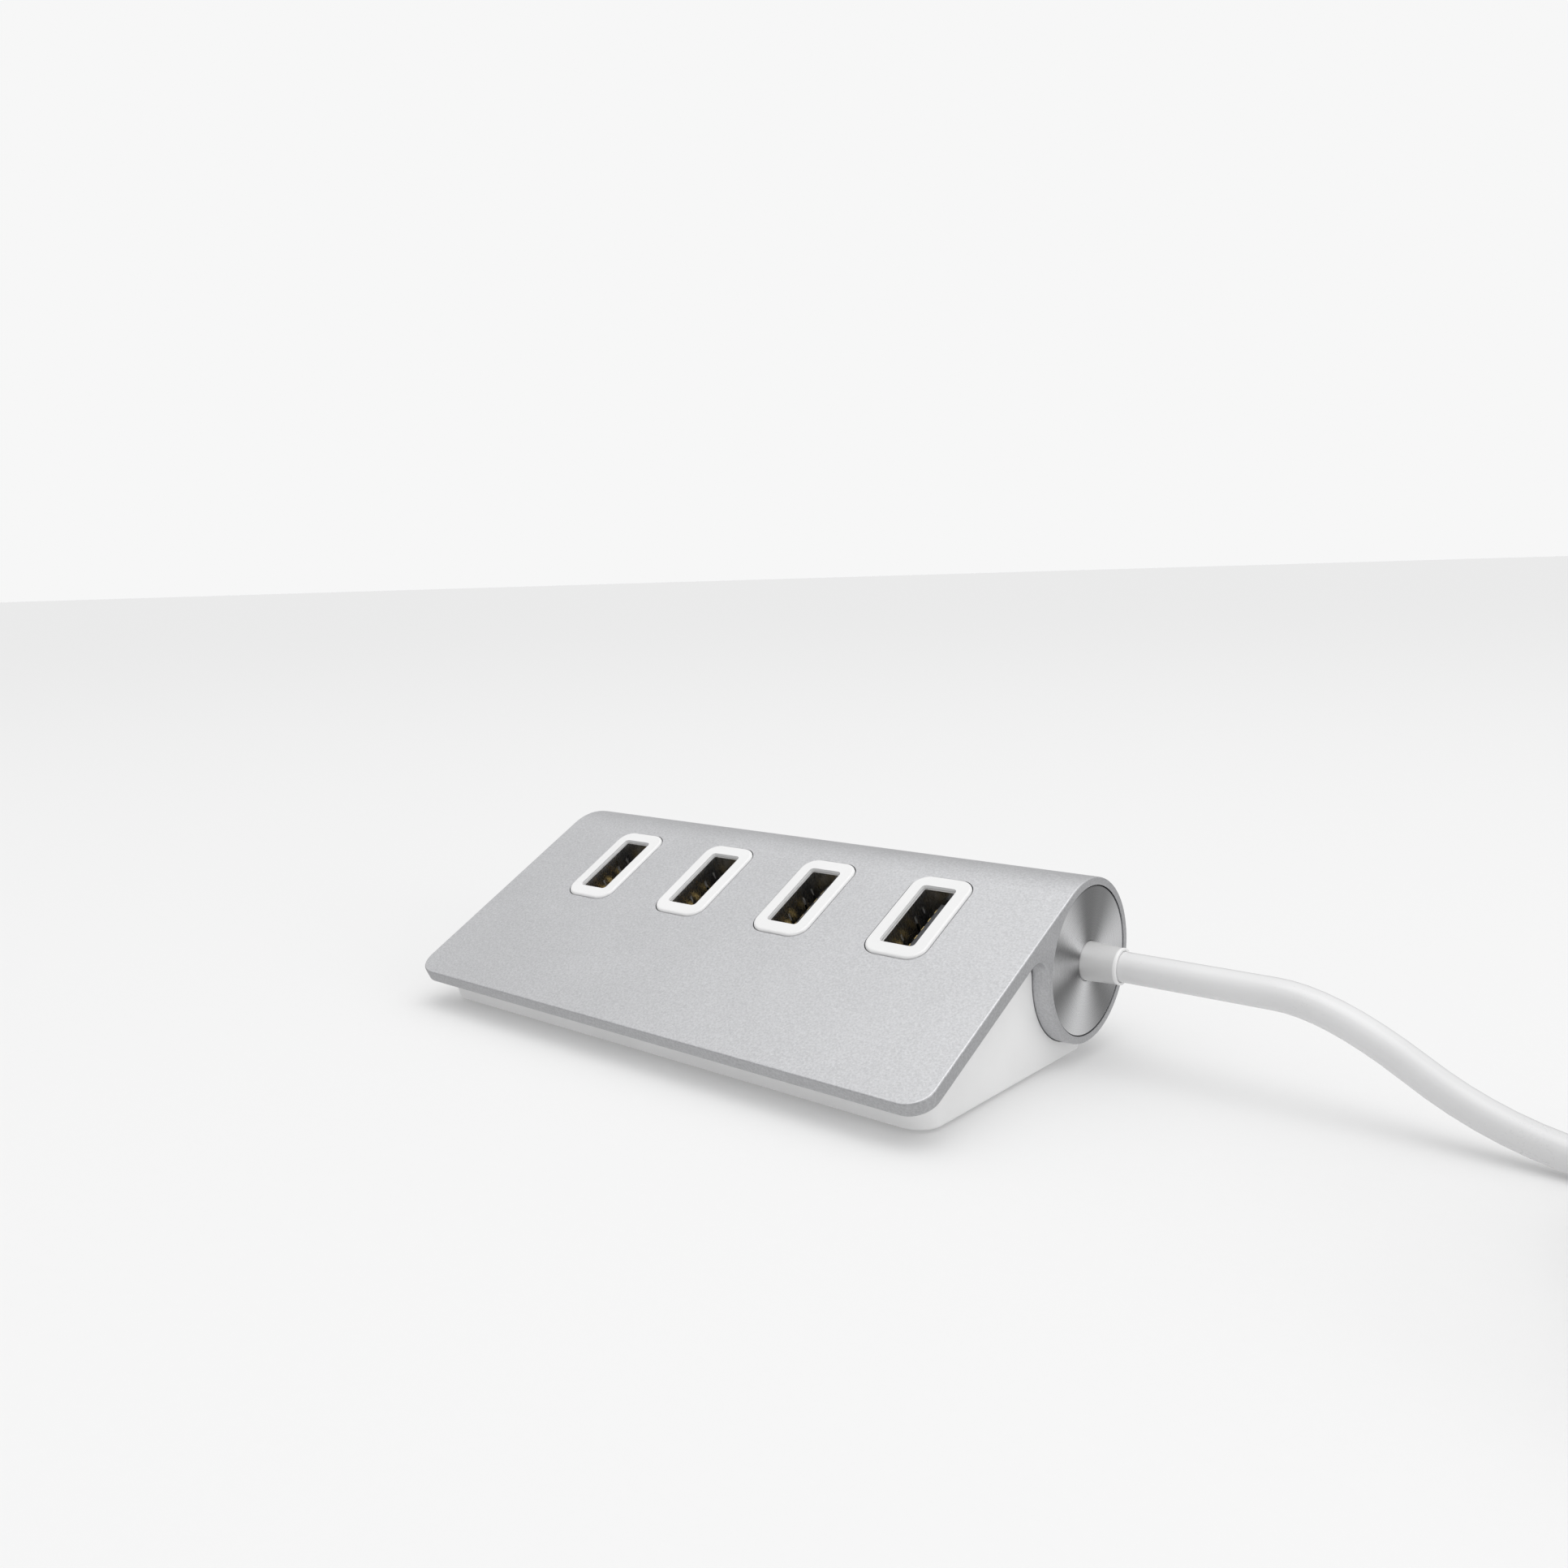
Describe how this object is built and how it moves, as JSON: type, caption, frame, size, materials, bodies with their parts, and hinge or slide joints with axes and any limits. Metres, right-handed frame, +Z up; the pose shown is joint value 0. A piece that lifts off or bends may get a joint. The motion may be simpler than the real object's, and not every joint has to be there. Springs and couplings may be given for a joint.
{
  "type": "usb hub",
  "caption": "Desktop USB hub: a sloping aluminium plate running into a round tube, upward ports with white bezels, a white tray and a built-in lead.",
  "frame": {"origin": "on the desk, under the middle of the hub's box without its lead", "axes": "+X along the tube towards the lead, +Y from the front edge to the tube, +Z up"},
  "size_m": [0.2304, 0.0775, 0.0273],
  "materials": {
    "blasted_aluminium": "bead blasted and clear anodised",
    "spun_aluminium": "fine circular turning, clear anodised",
    "white_frame": "polished moulding",
    "white_tray": "satin moulding",
    "adhesive": "double-sided tape",
    "foot_rubber": "matte",
    "screw_steel": "zinc plated",
    "board_laminate": "green solder mask",
    "chip_epoxy": "moulded epoxy",
    "crystal_can": "drawn can",
    "ceramic": "sintered ceramic",
    "plated_shell": "nickel plated sheet",
    "tongue_plastic": "moulded",
    "contact_gold": "gold plated",
    "plug_white_insulator": "moulded",
    "lead_jacket": "soft extruded jacket",
    "collar_plastic": "moulded",
    "plug_plastic": "satin moulding",
    "wire_insulation": "extruded"
  },
  "bodies": {
    "hub": {"base_shell": "white_tray", "board_screws": "screw_steel", "capacitors": "ceramic", "case_screws": "screw_steel", "circuit_board": "board_laminate", "clock_crystal": "crystal_can", "foot_front_left": "foot_rubber", "foot_front_right": "foot_rubber", "foot_rear_left": "foot_rubber", "foot_rear_right": "foot_rubber", "frame_adhesive": "adhesive", "hub_controller_chip": "chip_epoxy", "lead": "lead_jacket", "lead_coil": "lead_jacket", "lead_collar": "collar_plastic", "lead_jacket_end": "lead_jacket", "lead_tail": "lead_jacket", "lead_wires": "wire_insulation", "left_end_cap": "spun_aluminium", "plug_contacts": "contact_gold", "plug_insulator": "plug_white_insulator", "plug_overmould": "plug_plastic", "plug_shell": "plated_shell", "port_1_insulator": "tongue_plastic", "port_1_shell": "plated_shell", "port_1_terminals": "contact_gold", "port_2_insulator": "tongue_plastic", "port_2_shell": "plated_shell", "port_2_terminals": "contact_gold", "port_3_insulator": "tongue_plastic", "port_3_shell": "plated_shell", "port_3_terminals": "contact_gold", "port_4_insulator": "tongue_plastic", "port_4_shell": "plated_shell", "port_4_terminals": "contact_gold", "port_frame": "white_frame", "right_end_cap": "spun_aluminium", "top_extrusion": "blasted_aluminium", "voltage_regulator": "chip_epoxy"},
    "spring_contacts_1": {"port_1_springs": "contact_gold"},
    "spring_contacts_2": {"port_2_springs": "contact_gold"},
    "spring_contacts_3": {"port_3_springs": "contact_gold"},
    "spring_contacts_4": {"port_4_springs": "contact_gold"}
  },
  "joints": [
    {"name": "port_1_contact_flex", "type": "hinge", "parent": "hub", "child": "spring_contacts_1", "pos_m": [-0.03057, 0.0068, 0.01184], "axis": [0, 0.8901, 0.4559], "range_deg": [0, 3], "stiffness_Nm_per_rad": 0.3},
    {"name": "port_2_contact_flex", "type": "hinge", "parent": "hub", "child": "spring_contacts_2", "pos_m": [-0.00971, 0.0068, 0.01184], "axis": [0, 0.8901, 0.4559], "range_deg": [0, 3], "stiffness_Nm_per_rad": 0.3},
    {"name": "port_3_contact_flex", "type": "hinge", "parent": "hub", "child": "spring_contacts_3", "pos_m": [0.01115, 0.0068, 0.01184], "axis": [0, 0.8901, 0.4559], "range_deg": [0, 3], "stiffness_Nm_per_rad": 0.3},
    {"name": "port_4_contact_flex", "type": "hinge", "parent": "hub", "child": "spring_contacts_4", "pos_m": [0.03201, 0.0068, 0.01184], "axis": [0, 0.8901, 0.4559], "range_deg": [0, 3], "stiffness_Nm_per_rad": 0.3}
  ]
}
